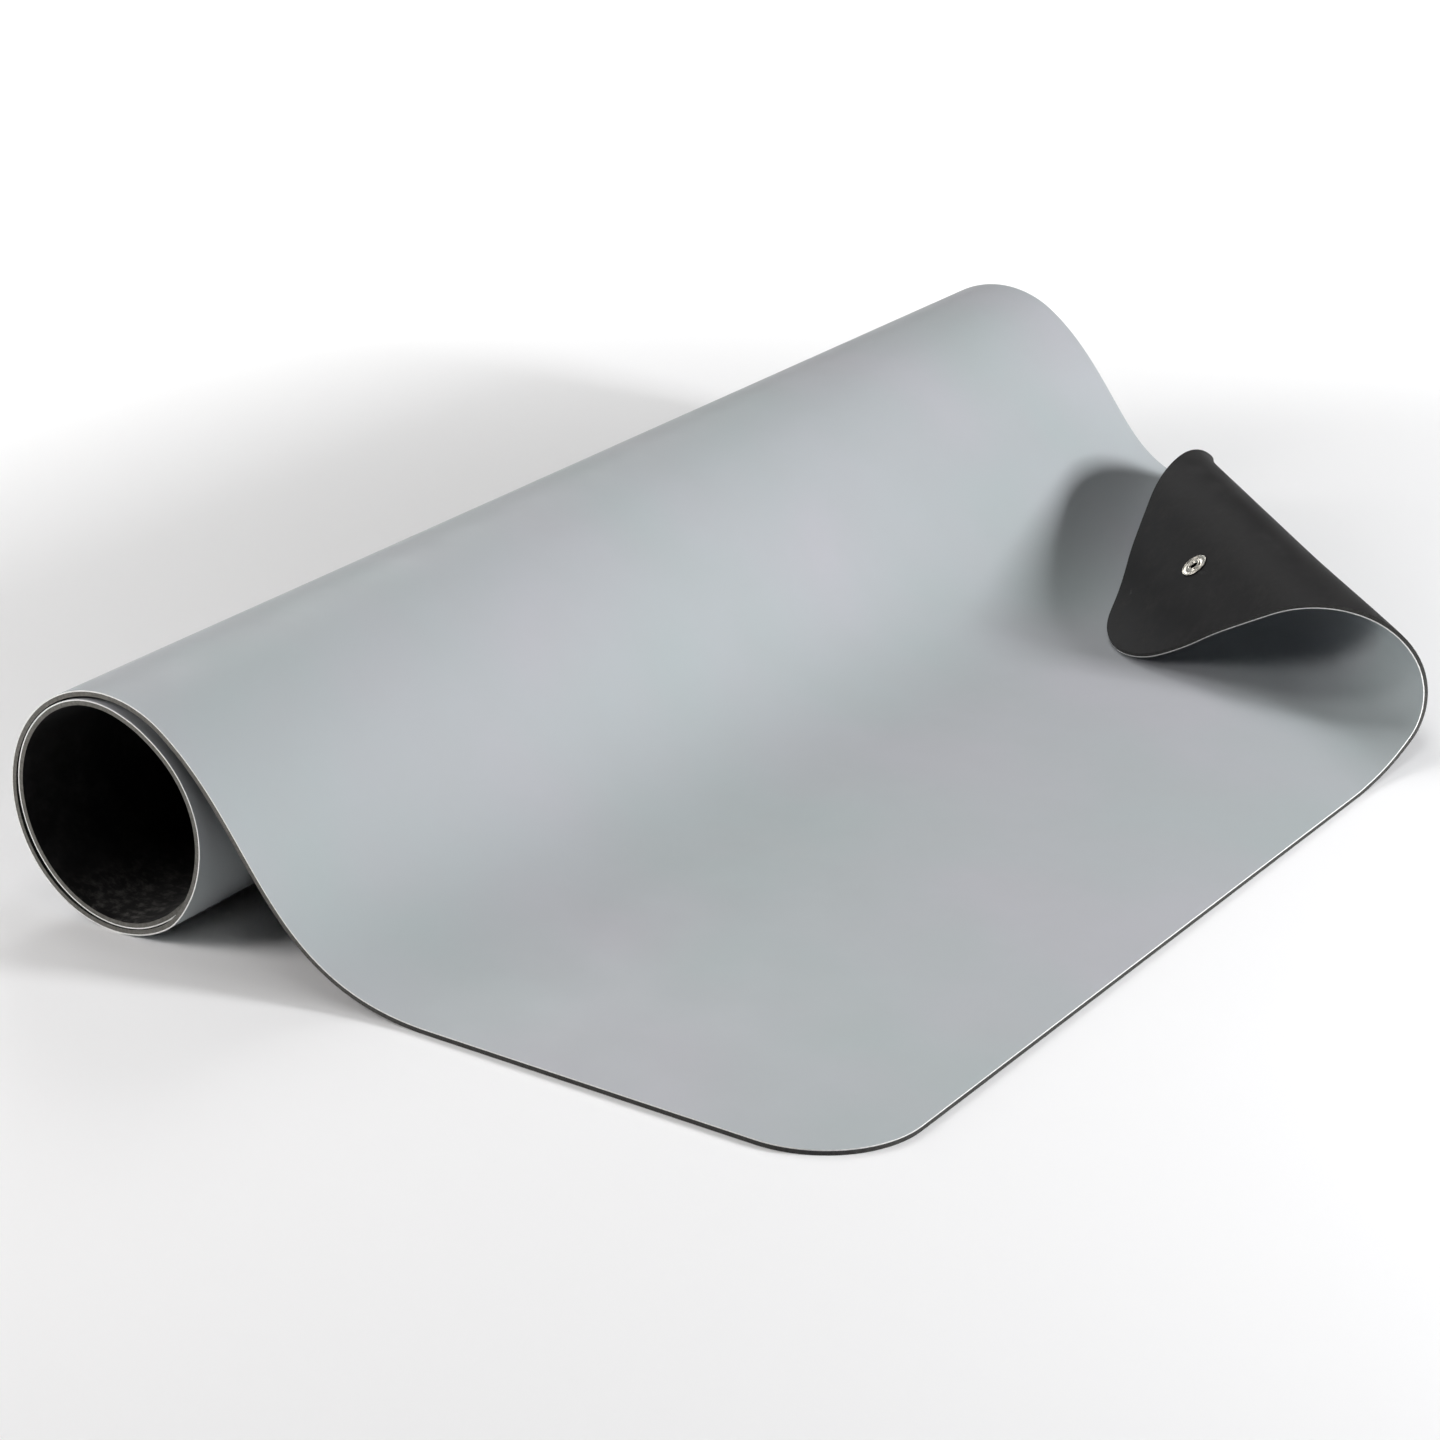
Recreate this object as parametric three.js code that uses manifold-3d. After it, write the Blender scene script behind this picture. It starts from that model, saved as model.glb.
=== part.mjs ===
// Anti static bench mat in millimetres, +Z up: a two layer rubber sheet, part rolled up,
// lying on its base layer, with one corner folded back over itself and a press stud in that corner.
// The sheet is laid out flat, cut into cells, and each corner of a cell is then carried to its
// bent place, so the roll, the slope and the fold keep the length that the sheet was cut to.
import * as THREE from 'three';
import { mergeVertices } from 'three/addons/utils/BufferGeometryUtils.js';
import Module from 'manifold-3d';

const wasm = await Module();
wasm.setup();

// The sheet as it was cut
const matWidth = 600;
const matLength = 750;
const topLayerThickness = 0.45;
const baseLayerThickness = 1.55;
const cornerRadius = 37;

// The roll: its outer turn is round, and the inner turn sinks away from it and comes back
const rollRadius = 43;
const leavingAngle = 34.5;
const turnGap = 0.35;
const innerTurnDip = [
  // degrees wound back from the top, millimetres further in than the outer turn's face
  [215, 0],
  [234, 1.8],
  [255, 3.4],
  [275, 4.5],
  [300, 5.8],
  [326, 6.5],
  [346, 5.6],
  [362, 4.2],
  [378, 3.0],
];
const contactAngle = 400;
const slackStart = 410;
const slackEnd = 560;
const slackDepth = 1.2;

// The slope from the roll's top down to the flat part, as a curve with two handles
const landingDistance = 131.5;
const slopeUpperHandle = 47.9;
const slopeLowerHandle = 65.2;
const flatLength = 161.2;

// The fold: it lifts off along a line across the corner and curls back over the mat
const foldDirection = 46.3;
const foldDepth = 167.2;
const foldRise = [
  // radius of the upper face, length along it
  [68.0, 20.6],
  [16.7, 26.7],
  [22.3, 28.2],
];
const foldDescentRadius = 34.3;
const foldTip = [
  [81, 10.7],
  [-57.5, 60],
];

// Away from its lift-off the fold drifts along its own line, and it draws the free edge up a little
const foldDrift = 0.0013;
const foldDriftStart = 40;
const edgeLift = 4.4;
const edgeLiftReach = 70;
const edgeLiftMiddle = 30;
const edgeLiftSpread = 44;

// The press stud in the folded corner
const studInset = 43.5;
const studSeatLength = 16;
const studFlangeDiameter = 12.5;
const studFlangeThickness = 0.8;
const studBossDiameter = 9.4;
const studNeckDiameter = 8.4;
const studBossHeight = 3.6;
const studWall = 0.7;
const eyeletFlangeDiameter = 11.4;
const eyeletFlangeThickness = 0.7;
const eyeletCollarDiameter = 5.6;
const eyeletCollarHeight = 1.1;
const eyeletBarrelDiameter = 4.2;
const eyeletBore = 2.8;
const fitGap = 0.3;

// Fineness of the facets
const rollStep = 6;
const slopeSteps = 24;
const foldTurnStep = 9;
const foldLongestStep = 12;
const edgeLiftSteps = 6;
const cornerSteps = 8;
const roundSides = 32;

// Values that follow from the sizes
const thickness = topLayerThickness + baseLayerThickness;
const freeEdge = landingDistance + flatLength;
const foldAcross = new THREE.Vector2(1, 0).rotateAround(new THREE.Vector2(), radians(foldDirection));
const foldAlong = new THREE.Vector2(-foldAcross.y, foldAcross.x);
const foldStart = foldAcross.dot(new THREE.Vector2(freeEdge, matWidth)) - foldDepth;
const studFlat = new THREE.Vector2(freeEdge - studInset, matWidth - studInset);
const studDistance = studFlat.dot(foldAcross) - foldStart;
const riseLength = foldRise.reduce((total, [, length]) => total + length, 0);
const foldBends = [
  ...foldRise,
  [foldDescentRadius, studDistance - studSeatLength / 2 - riseLength],
  [Infinity, studSeatLength],
  ...foldTip,
];

function radians(degrees) {
  return THREE.MathUtils.degToRad(degrees);
}

// Roll and slope, seen along the roll's axis

// How far inside the roll's round outer face the sheet runs, at an angle wound back from the top
function turnInset(woundBack) {
  if (woundBack <= innerTurnDip[0][0]) return 0;
  const seated = turnInset(woundBack - 360) + thickness + turnGap;
  if (woundBack < contactAngle) {
    const points = innerTurnDip.concat([[contactAngle, seated], [slackStart, seated]]);
    const curve = new THREE.SplineCurve(points.map(([angle, dip]) => new THREE.Vector2(angle, dip)));
    const along = points.findIndex(([angle]) => angle > woundBack);
    const share = (woundBack - points[along - 1][0]) / (points[along][0] - points[along - 1][0]);
    return Math.min(curve.getPoint((along - 1 + share) / (points.length - 1)).y, rollRadius);
  }
  const slack = (woundBack - slackStart) / (slackEnd - slackStart);
  if (slack <= 0 || slack >= 1) return seated;
  return seated + slackDepth * Math.sin(Math.PI * slack) ** 2;
}

function rollPoint(angleFromTop) {
  const radius = rollRadius - turnInset(-angleFromTop);
  const angle = radians(angleFromTop);
  return new THREE.Vector2(radius * Math.sin(angle), rollRadius + radius * Math.cos(angle));
}

function slopePoints() {
  const leaving = radians(leavingAngle);
  const heading = new THREE.Vector2(Math.cos(leaving), -Math.sin(leaving));
  const top = rollPoint(leavingAngle);
  const landing = new THREE.Vector2(landingDistance, thickness);
  const upperHandle = top.clone().addScaledVector(heading, slopeUpperHandle);
  const lowerHandle = new THREE.Vector2(landingDistance - slopeLowerHandle, thickness);
  return new THREE.CubicBezierCurve(landing, lowerHandle, upperHandle, top).getPoints(slopeSteps);
}

// Stations of the upper face from the landing back to the inner end, each with the place on the
// flat sheet, measured along the middle of the thickness, that comes to lie there
function profileStations() {
  const points = slopePoints();
  const innerEnd = freeEdge - matLength;
  const stations = [{ sheet: landingDistance, point: points[0] }];
  let angle = Math.floor(leavingAngle / rollStep) * rollStep;
  for (let i = 1; stations.at(-1).sheet > innerEnd; i += 1) {
    if (i >= points.length - 1) {
      points.push(rollPoint(angle));
      angle -= rollStep;
    }
    const chord = points[i].clone().sub(points[i - 1]);
    const turned = turnBetween(points[i - 2], points[i - 1], points[i]);
    const middle = chord.length() - (turned * thickness) / 2;
    stations.push({ sheet: stations.at(-1).sheet - middle, point: points[i] });
  }
  const last = stations.at(-1);
  const before = stations.at(-2);
  const share = (before.sheet - innerEnd) / (before.sheet - last.sheet);
  last.point = before.point.clone().lerp(last.point, share);
  last.sheet = innerEnd;
  return stations.reverse();
}

// Angle by which the sheet turns round the upper face's far side at the middle one of three points
function turnBetween(first, middle, last) {
  if (!first) return 0;
  const before = middle.clone().sub(first);
  const after = last.clone().sub(middle);
  return Math.asin(before.cross(after) / (before.length() * after.length()));
}

const profile = profileStations();

function profileAt(sheet) {
  if (sheet >= landingDistance) return new THREE.Vector2(sheet, thickness);
  const next = Math.max(1, profile.findIndex((station) => station.sheet >= sheet));
  const [from, to] = [profile[next - 1], profile[next]];
  return from.point.clone().lerp(to.point, (sheet - from.sheet) / (to.sheet - from.sheet));
}

// The fold, seen along the line where it lifts off

// Place of the upper face at a distance past that line: how far across, and how high
function foldAt(distance) {
  const place = new THREE.Vector2();
  let heading = 0;
  let left = distance;
  for (const [radius, length] of foldBends) {
    const run = Math.min(left, length);
    const turn = run / radius;
    const half = heading + turn / 2;
    const chord = turn === 0 ? run : (2 * radius * Math.sin(turn / 2));
    place.x += chord * Math.cos(half);
    place.y += chord * Math.sin(half);
    heading += turn;
    left -= run;
  }
  return place;
}

// How high the fold draws the sheet up near the free edge, at a distance past the lift-off line
function edgeLiftAt(flat, distance) {
  const fromMiddle = Math.min(Math.abs(distance - edgeLiftMiddle) / edgeLiftSpread, 1);
  const nearness = Math.max(1 - (freeEdge - flat.x) / edgeLiftReach, 0);
  return edgeLift * (1 - fromMiddle ** 2) ** 2 * nearness ** 2 * (3 - 2 * nearness);
}

// Distances past the lift-off line at which the fold is cut into cells
function foldStations() {
  const stations = [edgeLiftMiddle - edgeLiftSpread, (edgeLiftMiddle - edgeLiftSpread) / 2, 0];
  for (const [radius, length] of foldBends) {
    const byTurn = length / Math.abs(radius) / radians(foldTurnStep);
    const steps = Math.ceil(Math.max(byTurn, length / foldLongestStep));
    const start = stations.at(-1);
    for (let i = 1; i <= steps; i += 1) stations.push(start + (length * i) / steps);
  }
  return stations;
}

// The flat sheet, and where its points go

function flatSheet() {
  const innerEnd = freeEdge - matLength;
  const outline = new THREE.Shape();
  const r = cornerRadius;
  outline.absarc(freeEdge - r, r, r, -Math.PI / 2, 0);
  outline.absarc(freeEdge - r, matWidth - r, r, 0, Math.PI / 2);
  outline.absarc(innerEnd + r, matWidth - r, r, Math.PI / 2, Math.PI);
  outline.absarc(innerEnd + r, r, r, Math.PI, Math.PI * 1.5);
  const points = outline.getPoints(cornerSteps);
  const sheet = { points, cells: [points.map((_, i) => i)] };
  const alongLength = new THREE.Vector2(1, 0);
  for (const station of profile) splitCells(sheet, alongLength, station.sheet);
  for (const distance of foldStations()) splitCells(sheet, foldAcross, foldStart + distance);
  for (let i = 1; i <= edgeLiftSteps; i += 1) {
    splitCells(sheet, alongLength, freeEdge - (edgeLiftReach * i) / edgeLiftSteps);
  }
  return sheet;
}

// Cuts every cell that a straight line crosses in two, with the new points shared by neighbours
function splitCells(sheet, across, distance) {
  const tolerance = 1e-6;
  const sides = sheet.points.map((point) => {
    const side = point.dot(across) - distance;
    return Math.abs(side) < tolerance ? 0 : side;
  });
  const crossings = new Map();
  const crossing = (i, j) => {
    const key = `${Math.min(i, j)} ${Math.max(i, j)}`;
    if (!crossings.has(key)) {
      const share = sides[i] / (sides[i] - sides[j]);
      sheet.points.push(sheet.points[i].clone().lerp(sheet.points[j], share));
      crossings.set(key, sheet.points.length - 1);
    }
    return crossings.get(key);
  };
  sheet.cells = sheet.cells.flatMap((cell) => {
    if (cell.every((i) => sides[i] >= 0) || cell.every((i) => sides[i] <= 0)) return [cell];
    const above = [];
    const below = [];
    cell.forEach((i, k) => {
      const j = cell[(k + 1) % cell.length];
      if (sides[i] >= 0) above.push(i);
      if (sides[i] <= 0) below.push(i);
      if (sides[i] * sides[j] < 0) {
        above.push(crossing(i, j));
        below.push(crossing(i, j));
      }
    });
    return [above, below];
  });
}

// Carries a point of the flat sheet to its place on the upper face of the bent mat
function bend(flat) {
  const slope = profileAt(flat.x);
  const beyond = flat.dot(foldAcross) - foldStart;
  const curl = beyond > 0 ? foldAt(beyond) : new THREE.Vector2(beyond, 0);
  const across = curl.x - beyond;
  const along = -foldDrift * Math.max(beyond - foldDriftStart, 0) ** 2;
  return new THREE.Vector3(
    slope.x + foldAcross.x * across + foldAlong.x * along,
    flat.y + foldAcross.y * across + foldAlong.y * along,
    slope.y + curl.y + edgeLiftAt(flat, beyond),
  );
}

// Direction out of the upper face, straight up where the mat lies flat
function bentNormal(flat) {
  const beyond = flat.dot(foldAcross) - foldStart;
  const isFlat = flat.x >= landingDistance && beyond <= 0 && edgeLiftAt(flat, beyond) === 0;
  if (isFlat) return new THREE.Vector3(0, 0, 1);
  const reach = 0.01;
  const step = (x, y) => bend(new THREE.Vector2(flat.x + x, flat.y + y));
  const alongX = step(reach, 0).sub(step(-reach, 0));
  const alongY = step(0, reach).sub(step(0, -reach));
  return alongX.cross(alongY).normalize();
}

// The layers

const sheet = flatSheet();
const upperFace = sheet.points.map(bend);
const normals = sheet.points.map(bentNormal);

// One layer of the sheet, between two depths below the upper face
function layerGeometry(upperDepth, lowerDepth) {
  const atDepth = (depth) => upperFace.map((point, i) => point.clone().addScaledVector(normals[i], -depth));
  const vertices = [...atDepth(upperDepth), ...atDepth(lowerDepth)];
  const below = sheet.points.length;
  const triangles = [];
  const edges = new Set();
  for (const cell of sheet.cells) {
    for (let k = 2; k < cell.length; k += 1) {
      const [a, b, c] = [cell[0], cell[k - 1], cell[k]];
      triangles.push(a, b, c, a + below, c + below, b + below);
    }
    cell.forEach((i, k) => edges.add(`${i} ${cell[(k + 1) % cell.length]}`));
  }
  for (const edge of edges) {
    const [i, j] = edge.split(' ').map(Number);
    const isRim = !edges.has(`${j} ${i}`);
    if (isRim) triangles.push(i, i + below, j + below, i, j + below, j);
  }
  const geometry = new THREE.BufferGeometry().setFromPoints(vertices);
  geometry.setIndex(triangles);
  return geometry;
}

function toSolid(geometry) {
  const bare = geometry.clone();
  bare.deleteAttribute('normal');
  bare.deleteAttribute('uv');
  const merged = mergeVertices(bare);
  const vertProperties = new Float32Array(merged.attributes.position.array);
  const triVerts = new Uint32Array(merged.index.array);
  return new wasm.Manifold(new wasm.Mesh({ numProp: 3, vertProperties, triVerts }));
}

function toGeometry(solid) {
  const mesh = solid.getMesh();
  const geometry = new THREE.BufferGeometry();
  geometry.setAttribute('position', new THREE.BufferAttribute(mesh.vertProperties, 3));
  geometry.setIndex(new THREE.BufferAttribute(mesh.triVerts, 1));
  geometry.computeVertexNormals();
  return geometry;
}

// The stud's place: its axis crosses the sheet, and its own +Z leaves the base layer's face
const studPlace = bend(studFlat);
const studAxis = bentNormal(studFlat).negate();
const studTurn = new THREE.Quaternion().setFromUnitVectors(new THREE.Vector3(0, 0, 1), studAxis);

// A body turned round +Z from [radius, height] points
function turned(outline) {
  const points = outline.map(([radius, height]) => new THREE.Vector2(radius, height));
  const geometry = new THREE.LatheGeometry([...points, points[0].clone()], roundSides);
  return geometry.rotateX(Math.PI / 2);
}

function withStudHole(geometry) {
  const holeRadius = eyeletBarrelDiameter / 2 + fitGap;
  const reach = thickness * 2;
  const drill = new THREE.CylinderGeometry(holeRadius, holeRadius, reach * 2, roundSides);
  drill.rotateX(Math.PI / 2).applyQuaternion(studTurn).translate(...studPlace);
  return toGeometry(toSolid(geometry).subtract(toSolid(drill)));
}

// Male half on the upper face: a flange with a hollow boss, narrower at its neck
function pressStudGeometry() {
  const seat = -fitGap;
  const top = seat - studFlangeThickness - studBossHeight;
  const bossRadius = studBossDiameter / 2;
  const neckRadius = studNeckDiameter / 2;
  const hole = eyeletBarrelDiameter / 2 + fitGap;
  const neckEnd = seat - studFlangeThickness - studBossHeight * 0.45;
  return turned([
    [hole, seat],
    [studFlangeDiameter / 2, seat],
    [studFlangeDiameter / 2, seat - studFlangeThickness],
    [neckRadius, seat - studFlangeThickness],
    [neckRadius, neckEnd],
    [bossRadius, neckEnd - (bossRadius - neckRadius)],
    [bossRadius, top + studWall],
    [bossRadius - studWall, top],
    [hole + studWall, top],
    [hole + studWall, top + studWall],
    [neckRadius - studWall, top + studWall],
    [neckRadius - studWall, seat - studFlangeThickness],
    [hole, seat - studFlangeThickness],
  ].reverse());
}

// Back half on the base layer: a flange with a raised collar, and the barrel through the sheet
function eyeletGeometry() {
  const seat = thickness + fitGap;
  const face = seat + eyeletFlangeThickness;
  const collar = seat + eyeletCollarHeight;
  const barrelEnd = -fitGap - studFlangeThickness;
  const rim = eyeletFlangeThickness / 2;
  return turned([
    [eyeletBore / 2, barrelEnd],
    [eyeletBarrelDiameter / 2, barrelEnd],
    [eyeletBarrelDiameter / 2, seat],
    [eyeletFlangeDiameter / 2, seat],
    [eyeletFlangeDiameter / 2, seat + rim],
    [eyeletFlangeDiameter / 2 - rim, face],
    [eyeletCollarDiameter / 2 + rim / 2, face],
    [eyeletCollarDiameter / 2, collar],
    [eyeletBore / 2 + rim / 2, collar],
    [eyeletBore / 2, face],
  ]);
}

const greyRubber = new THREE.MeshStandardMaterial({ color: '#adb1b5', roughness: 0.7, metalness: 0 });
const blackRubber = new THREE.MeshStandardMaterial({ color: '#2b2a2a', roughness: 0.62, metalness: 0 });
const nickel = new THREE.MeshStandardMaterial({ color: '#c9c4b4', roughness: 0.28, metalness: 1 });

const mat = new THREE.Group();

function addPiece(name, geometry, material) {
  const piece = new THREE.Mesh(geometry, material);
  piece.name = name;
  mat.add(piece);
  return piece;
}

const topLayer = layerGeometry(0, topLayerThickness);
const baseLayer = layerGeometry(topLayerThickness, thickness);
addPiece('dissipative_top_layer', withStudHole(topLayer), greyRubber);
addPiece('conductive_base_layer', withStudHole(baseLayer), blackRubber);
for (const [name, geometry] of [['press_stud', pressStudGeometry()], ['stud_eyelet', eyeletGeometry()]]) {
  const piece = addPiece(name, geometry, nickel);
  piece.quaternion.copy(studTurn);
  piece.position.copy(studPlace);
}

// The origin is under the middle of the object, on the surface that it lies on
const bounds = new THREE.Box3().setFromObject(mat);
const centre = bounds.getCenter(new THREE.Vector3());
mat.position.set(-centre.x, -centre.y, -bounds.min.z);

export default mat;
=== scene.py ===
"""Anti static bench mat: a two layer rubber sheet, part rolled up, with one corner folded back.

Each layer starts as the flat sheet that was cut for it. Geometry Nodes carry its points to their
places along two lines: the roll line, which is the sheet's side view, and the fold line, which is
the folded corner seen along the crease where it lifts off.
"""

import math

import bmesh
import bpy
from mathutils import Matrix, Quaternion, Vector


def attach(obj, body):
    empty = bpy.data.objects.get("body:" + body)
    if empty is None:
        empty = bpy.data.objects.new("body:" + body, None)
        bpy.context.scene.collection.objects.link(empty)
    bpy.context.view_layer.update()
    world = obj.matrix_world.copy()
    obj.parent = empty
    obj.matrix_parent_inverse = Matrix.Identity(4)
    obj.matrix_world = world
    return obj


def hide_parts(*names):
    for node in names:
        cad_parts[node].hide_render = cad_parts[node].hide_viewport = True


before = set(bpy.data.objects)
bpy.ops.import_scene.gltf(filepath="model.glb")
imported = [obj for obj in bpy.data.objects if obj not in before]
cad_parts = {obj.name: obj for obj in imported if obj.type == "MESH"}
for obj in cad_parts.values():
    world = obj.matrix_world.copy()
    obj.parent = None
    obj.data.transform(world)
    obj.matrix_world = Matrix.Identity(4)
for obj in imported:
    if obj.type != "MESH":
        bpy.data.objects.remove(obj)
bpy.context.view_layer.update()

# The sheet as it was cut, in metres like every size here
MAT_WIDTH = 0.600
MAT_LENGTH = 0.750
TOP_LAYER = 0.00045
BASE_LAYER = 0.00155
THICKNESS = TOP_LAYER + BASE_LAYER
CORNER_RADIUS = 0.037

# The roll: its outer turn is round, and the inner turn sinks away from it and comes back
ROLL_RADIUS = 0.043
LEAVING_ANGLE = 34.5
TURN_GAP = 0.00035
INNER_TURN_DIP = [
    # degrees wound back from the top, metres further in than the outer turn's face
    (215, 0.0), (234, 0.0018), (255, 0.0034), (275, 0.0045), (300, 0.0058),
    (326, 0.0065), (346, 0.0056), (362, 0.0042), (378, 0.0030),
]
CONTACT_ANGLE = 400
SLACK_START = 410
SLACK_END = 560
SLACK_DEPTH = 0.0012

# The slope from the roll's top to the flat part
LANDING = 0.1315
SLOPE_UPPER_HANDLE = 0.0479
SLOPE_LOWER_HANDLE = 0.0652
FLAT_LENGTH = 0.1612
FREE_EDGE = LANDING + FLAT_LENGTH
INNER_END = FREE_EDGE - MAT_LENGTH

# The fold: the upper face's radius and the length along it, from the lift-off line to the tip
FOLD_DIRECTION = 46.3
FOLD_DEPTH = 0.1672
FOLD_RISE = [(0.068, 0.0206), (0.0167, 0.0267), (0.0223, 0.0282)]
FOLD_DESCENT_RADIUS = 0.0343
FOLD_TIP = [(0.081, 0.0107), (-0.0575, 0.060)]
FOLD_DRIFT = 1.3
FOLD_DRIFT_START = 0.040
EDGE_LIFT = 0.0044
EDGE_LIFT_REACH = 0.070
EDGE_LIFT_MIDDLE = 0.030
EDGE_LIFT_SPREAD = 0.044

# The lip where the far edge crosses the fold's back and curls outwards
LIP_FLARE = 0.0030
LIP_REACH = 0.013
LIP_MIDDLE = 0.050
LIP_SPREAD = 0.020
LIP_HEADING = 120

# The press stud's place and its hole
STUD_INSET = 0.0435
STUD_SEAT = 0.016
STUD_CLEARANCE = 0.00005
STUD_HOLE_RADIUS = 0.0024
STUD_HOLE_REACH = 0.006

# The eyelet: the barrel through the sheet, the rolled rim, the sunk ring and the curled mouth
BARREL_RADIUS = 0.0021
BARREL_BORE = 0.0014
BARREL_MOUTH = 0.00155
BARREL_END = -0.0012
RIM_PLACE = 0.0054
RIM_CURL = 0.00026
RING_LIFT = 0.00018
MOUTH_PLACE = 0.00238
MOUTH_LIFT = 0.00028
MOUTH_CURL = 0.00052

# The stud's male half: the flange that lies on the sheet and the boss that snaps into a lead
FLANGE_RADIUS = 0.0059
FLANGE_EDGE = 0.00035
FLANGE_THICKNESS = 0.0008
FLANGE_BORE = 0.0024
BOSS_HEIGHT = 0.0036
BOSS_RADIUS = 0.0047
BOSS_ROUNDING = 0.0008
NECK_RADIUS = 0.0042
HOLLOW_RADIUS = 0.0037

FOLD_TURN = math.radians(FOLD_DIRECTION)
FOLD_ACROSS = Vector((math.cos(FOLD_TURN), math.sin(FOLD_TURN), 0.0))
FOLD_ALONG = Vector((-FOLD_ACROSS.y, FOLD_ACROSS.x, 0.0))
ALONG_ROLL = Vector((0.0, 1.0, 0.0))
UP = Vector((0.0, 0.0, 1.0))
FOLD_START = FOLD_ACROSS.dot(Vector((FREE_EDGE, MAT_WIDTH, 0.0))) - FOLD_DEPTH
STUD_FLAT = Vector((FREE_EDGE - STUD_INSET, MAT_WIDTH - STUD_INSET, 0.0))
STUD_DISTANCE = STUD_FLAT.dot(FOLD_ACROSS) - FOLD_START
FOLD_BENDS = [
    *FOLD_RISE,
    (FOLD_DESCENT_RADIUS, STUD_DISTANCE - STUD_SEAT / 2 - sum(length for _, length in FOLD_RISE)),
    (math.inf, STUD_SEAT),
    *FOLD_TIP,
]

# The sheet is laid out with the roll's axis over x = 0; the part's origin is under its middle
SHEET_ORIGIN = Vector((-0.1250334, -0.3001195, 0.0))

# Fineness of the mesh: steps in degrees, numbers or metres, and the largest cells
ROLL_LINE_STEP = 2.0
ROLL_LINE_WOUND_BACK = 720
SLOPE_LINE_STEPS = 60
FOLD_LINE_STEP = 0.0005
ROLL_CELL = 0.0026
WIDE_CELL = 0.020
FOLD_CELL = 0.0022
FOLD_CROSS_CELL = 0.006
LIP_CELL = 0.001
CORNER_STEPS = 20
TURNED_SIDES = 96
HOLE_SIDES = 48
CURL_STEPS = 12
ROUNDING_STEPS = 8
WELD_DISTANCE = 1e-6
SHARP_RUBBER = 50
SHARP_METAL = 38


# The roll line

def turn_inset(wound_back):
    """How far inside the roll's round outer face the sheet runs, at degrees wound back."""
    if wound_back <= INNER_TURN_DIP[0][0]:
        return 0.0
    seated = turn_inset(wound_back - 360) + THICKNESS + TURN_GAP
    if wound_back < CONTACT_ANGLE:
        points = INNER_TURN_DIP + [(CONTACT_ANGLE, seated), (SLACK_START, seated)]
        after = next(i for i, (angle, _) in enumerate(points) if angle > wound_back)
        before = after - 1
        share = (wound_back - points[before][0]) / (points[after][0] - points[before][0])
        dips = [points[min(max(i, 0), len(points) - 1)][1] for i in range(before - 1, before + 3)]
        return through_points(dips, share)
    slack = (wound_back - SLACK_START) / (SLACK_END - SLACK_START)
    if 0 < slack < 1:
        return seated + SLACK_DEPTH * math.sin(math.pi * slack) ** 2
    return seated


def through_points(values, share):
    """A smooth curve's value between the second and the third of four values."""
    first, start, end, last = values
    leaving = (end - first) / 2
    arriving = (last - start) / 2
    cubic = 2 * start - 2 * end + leaving + arriving
    square = -3 * start + 3 * end - 2 * leaving - arriving
    return cubic * share**3 + square * share**2 + leaving * share + start


def roll_point(angle_from_top):
    """The upper face's place in the roll, at degrees past the top towards the slope."""
    radius = ROLL_RADIUS - turn_inset(-angle_from_top)
    angle = math.radians(angle_from_top)
    return Vector((radius * math.sin(angle), ROLL_RADIUS + radius * math.cos(angle)))


def slope_points():
    """The upper face from the landing up to where the sheet leaves the roll."""
    leaving = math.radians(LEAVING_ANGLE)
    top = roll_point(LEAVING_ANGLE)
    upper_handle = top + SLOPE_UPPER_HANDLE * Vector((math.cos(leaving), -math.sin(leaving)))
    landing = Vector((LANDING, THICKNESS))
    lower_handle = Vector((LANDING - SLOPE_LOWER_HANDLE, THICKNESS))
    points = []
    for i in range(SLOPE_LINE_STEPS + 1):
        t = i / SLOPE_LINE_STEPS
        points.append(
            landing * (1 - t) ** 3
            + lower_handle * (3 * t * (1 - t) ** 2)
            + upper_handle * (3 * t**2 * (1 - t))
            + top * t**3
        )
    return points


def roll_line():
    """The middle of the sheet's thickness from the side, from the inner end to the free edge."""
    upper = slope_points()
    angle = LEAVING_ANGLE - ROLL_LINE_STEP
    while angle > -ROLL_LINE_WOUND_BACK:
        upper.append(roll_point(angle))
        angle -= ROLL_LINE_STEP
    middle = [Vector((LANDING, THICKNESS / 2))]
    left = MAT_LENGTH - FLAT_LENGTH
    for before, here, after in zip(upper, upper[1:], upper[2:]):
        heading = (after - before).normalized()
        point = here + Vector((-heading.y, heading.x)) * THICKNESS / 2
        step = point - middle[-1]
        if step.length >= left:
            middle.append(middle[-1] + step * (left / step.length))
            break
        middle.append(point)
        left -= step.length
    middle.reverse()
    middle.append(Vector((FREE_EDGE, THICKNESS / 2)))
    return middle


# The fold line

def fold_at(distance):
    """Place across, height and heading of the upper face at a distance past the lift-off line."""
    across = height = heading = 0.0
    for radius, length in FOLD_BENDS:
        run = min(distance, length)
        turn = run / radius
        chord = 2 * radius * math.sin(turn / 2) if turn else run
        across += chord * math.cos(heading + turn / 2)
        height += chord * math.sin(heading + turn / 2)
        heading += turn
        distance -= run
    return across, height, heading


def fold_line():
    """The upper face across the fold, from the lift-off line past the tip."""
    steps = math.ceil(sum(length for _, length in FOLD_BENDS) / FOLD_LINE_STEP)
    places = (fold_at(i * FOLD_LINE_STEP) for i in range(steps + 1))
    return [Vector((across, height)) for across, height, _ in places]


def outward(heading):
    """The direction out of the base layer where the fold has a heading."""
    return FOLD_ACROSS * math.sin(heading) - UP * math.cos(heading)


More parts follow.
